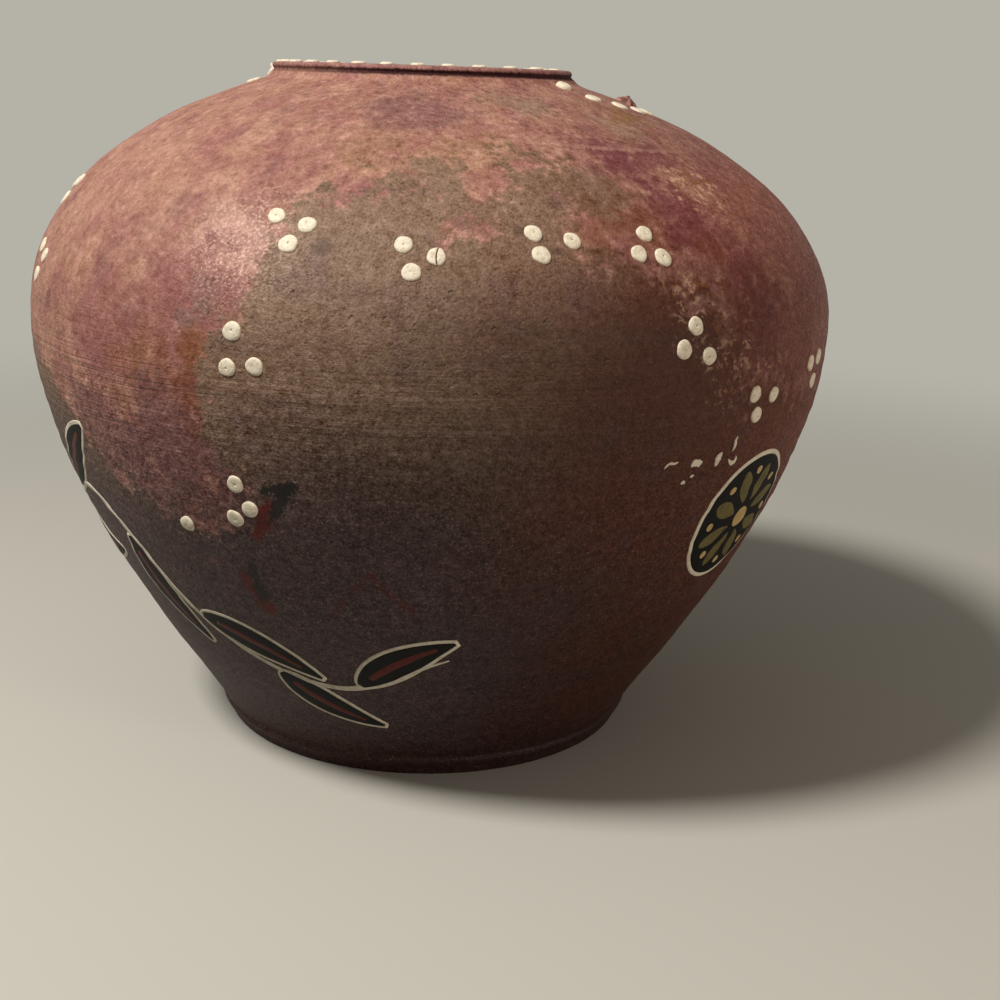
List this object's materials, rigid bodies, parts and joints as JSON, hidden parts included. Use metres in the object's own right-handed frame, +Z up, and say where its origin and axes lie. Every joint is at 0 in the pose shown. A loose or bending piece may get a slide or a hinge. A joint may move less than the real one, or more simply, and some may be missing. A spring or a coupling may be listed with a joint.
{
  "type": "vase",
  "caption": "Squat, wide-shouldered clay jar with a small off-centre mouth and a short foot, trimmed with raised dots of cream paint in threes.",
  "frame": {"origin": "centre of the flat underside of the foot, on the surface that the jar stands on", "axes": "+Z up, the shortest way through the jar; -Y towards the front that the picture shows; +X to the right of that view"},
  "size_m": [0.152, 0.152, 0.1269],
  "materials": {
    "clay": "unglazed, matt, fine throwing lines, sponged with mauve, pink, plum and ochre washes",
    "dot_paint": "thick cream paint, satin, slightly chalky",
    "black_paint": "thin black paint film, satin",
    "line_paint": "thin cream paint line, satin",
    "brick_paint": "thin brick-red paint film, satin",
    "olive_paint": "thin olive paint film, satin",
    "ochre_paint": "thin ochre paint film, satin"
  },
  "bodies": {
    "root": {"vessel": "clay", "trio_01_dot_a": "dot_paint", "trio_01_dot_b": "dot_paint", "trio_01_dot_c": "dot_paint", "trio_02_dot_a": "dot_paint", "trio_02_dot_b": "dot_paint", "trio_02_dot_c": "dot_paint", "trio_03_dot_a": "dot_paint", "trio_03_dot_b": "dot_paint", "trio_03_dot_c": "dot_paint", "trio_04_dot_a": "dot_paint", "trio_04_dot_b": "dot_paint", "trio_04_dot_c": "dot_paint", "trio_05_dot_a": "dot_paint", "trio_05_dot_b": "dot_paint", "trio_05_dot_c": "dot_paint", "trio_06_dot_a": "dot_paint", "trio_06_dot_b": "dot_paint", "trio_06_dot_c": "dot_paint", "trio_07_dot_a": "dot_paint", "trio_07_dot_b": "dot_paint", "trio_07_dot_c": "dot_paint", "trio_08_dot_a": "dot_paint", "trio_08_dot_b": "dot_paint", "trio_08_dot_c": "dot_paint", "trio_09_dot_a": "dot_paint", "trio_09_dot_b": "dot_paint", "trio_09_dot_c": "dot_paint", "trio_10_dot_a": "dot_paint", "trio_10_dot_b": "dot_paint", "trio_10_dot_c": "dot_paint", "trio_11_dot_a": "dot_paint", "trio_11_dot_b": "dot_paint", "trio_11_dot_c": "dot_paint", "trio_12_dot_a": "dot_paint", "trio_12_dot_b": "dot_paint", "trio_12_dot_c": "dot_paint", "trio_13_dot_a": "dot_paint", "trio_13_dot_b": "dot_paint", "trio_13_dot_c": "dot_paint", "trio_14_dot_a": "dot_paint", "trio_14_dot_b": "dot_paint", "trio_14_dot_c": "dot_paint", "trio_15_dot_a": "dot_paint", "trio_15_dot_b": "dot_paint", "trio_15_dot_c": "dot_paint", "trio_16_dot_a": "dot_paint", "trio_16_dot_b": "dot_paint", "trio_16_dot_c": "dot_paint", "trio_17_dot_a": "dot_paint", "trio_17_dot_b": "dot_paint", "trio_17_dot_c": "dot_paint", "trio_18_dot_a": "dot_paint", "trio_18_dot_b": "dot_paint", "trio_18_dot_c": "dot_paint", "trio_19_dot_a": "dot_paint", "trio_19_dot_b": "dot_paint", "trio_19_dot_c": "dot_paint", "lone_dot": "dot_paint"}
  },
  "joints": []
}
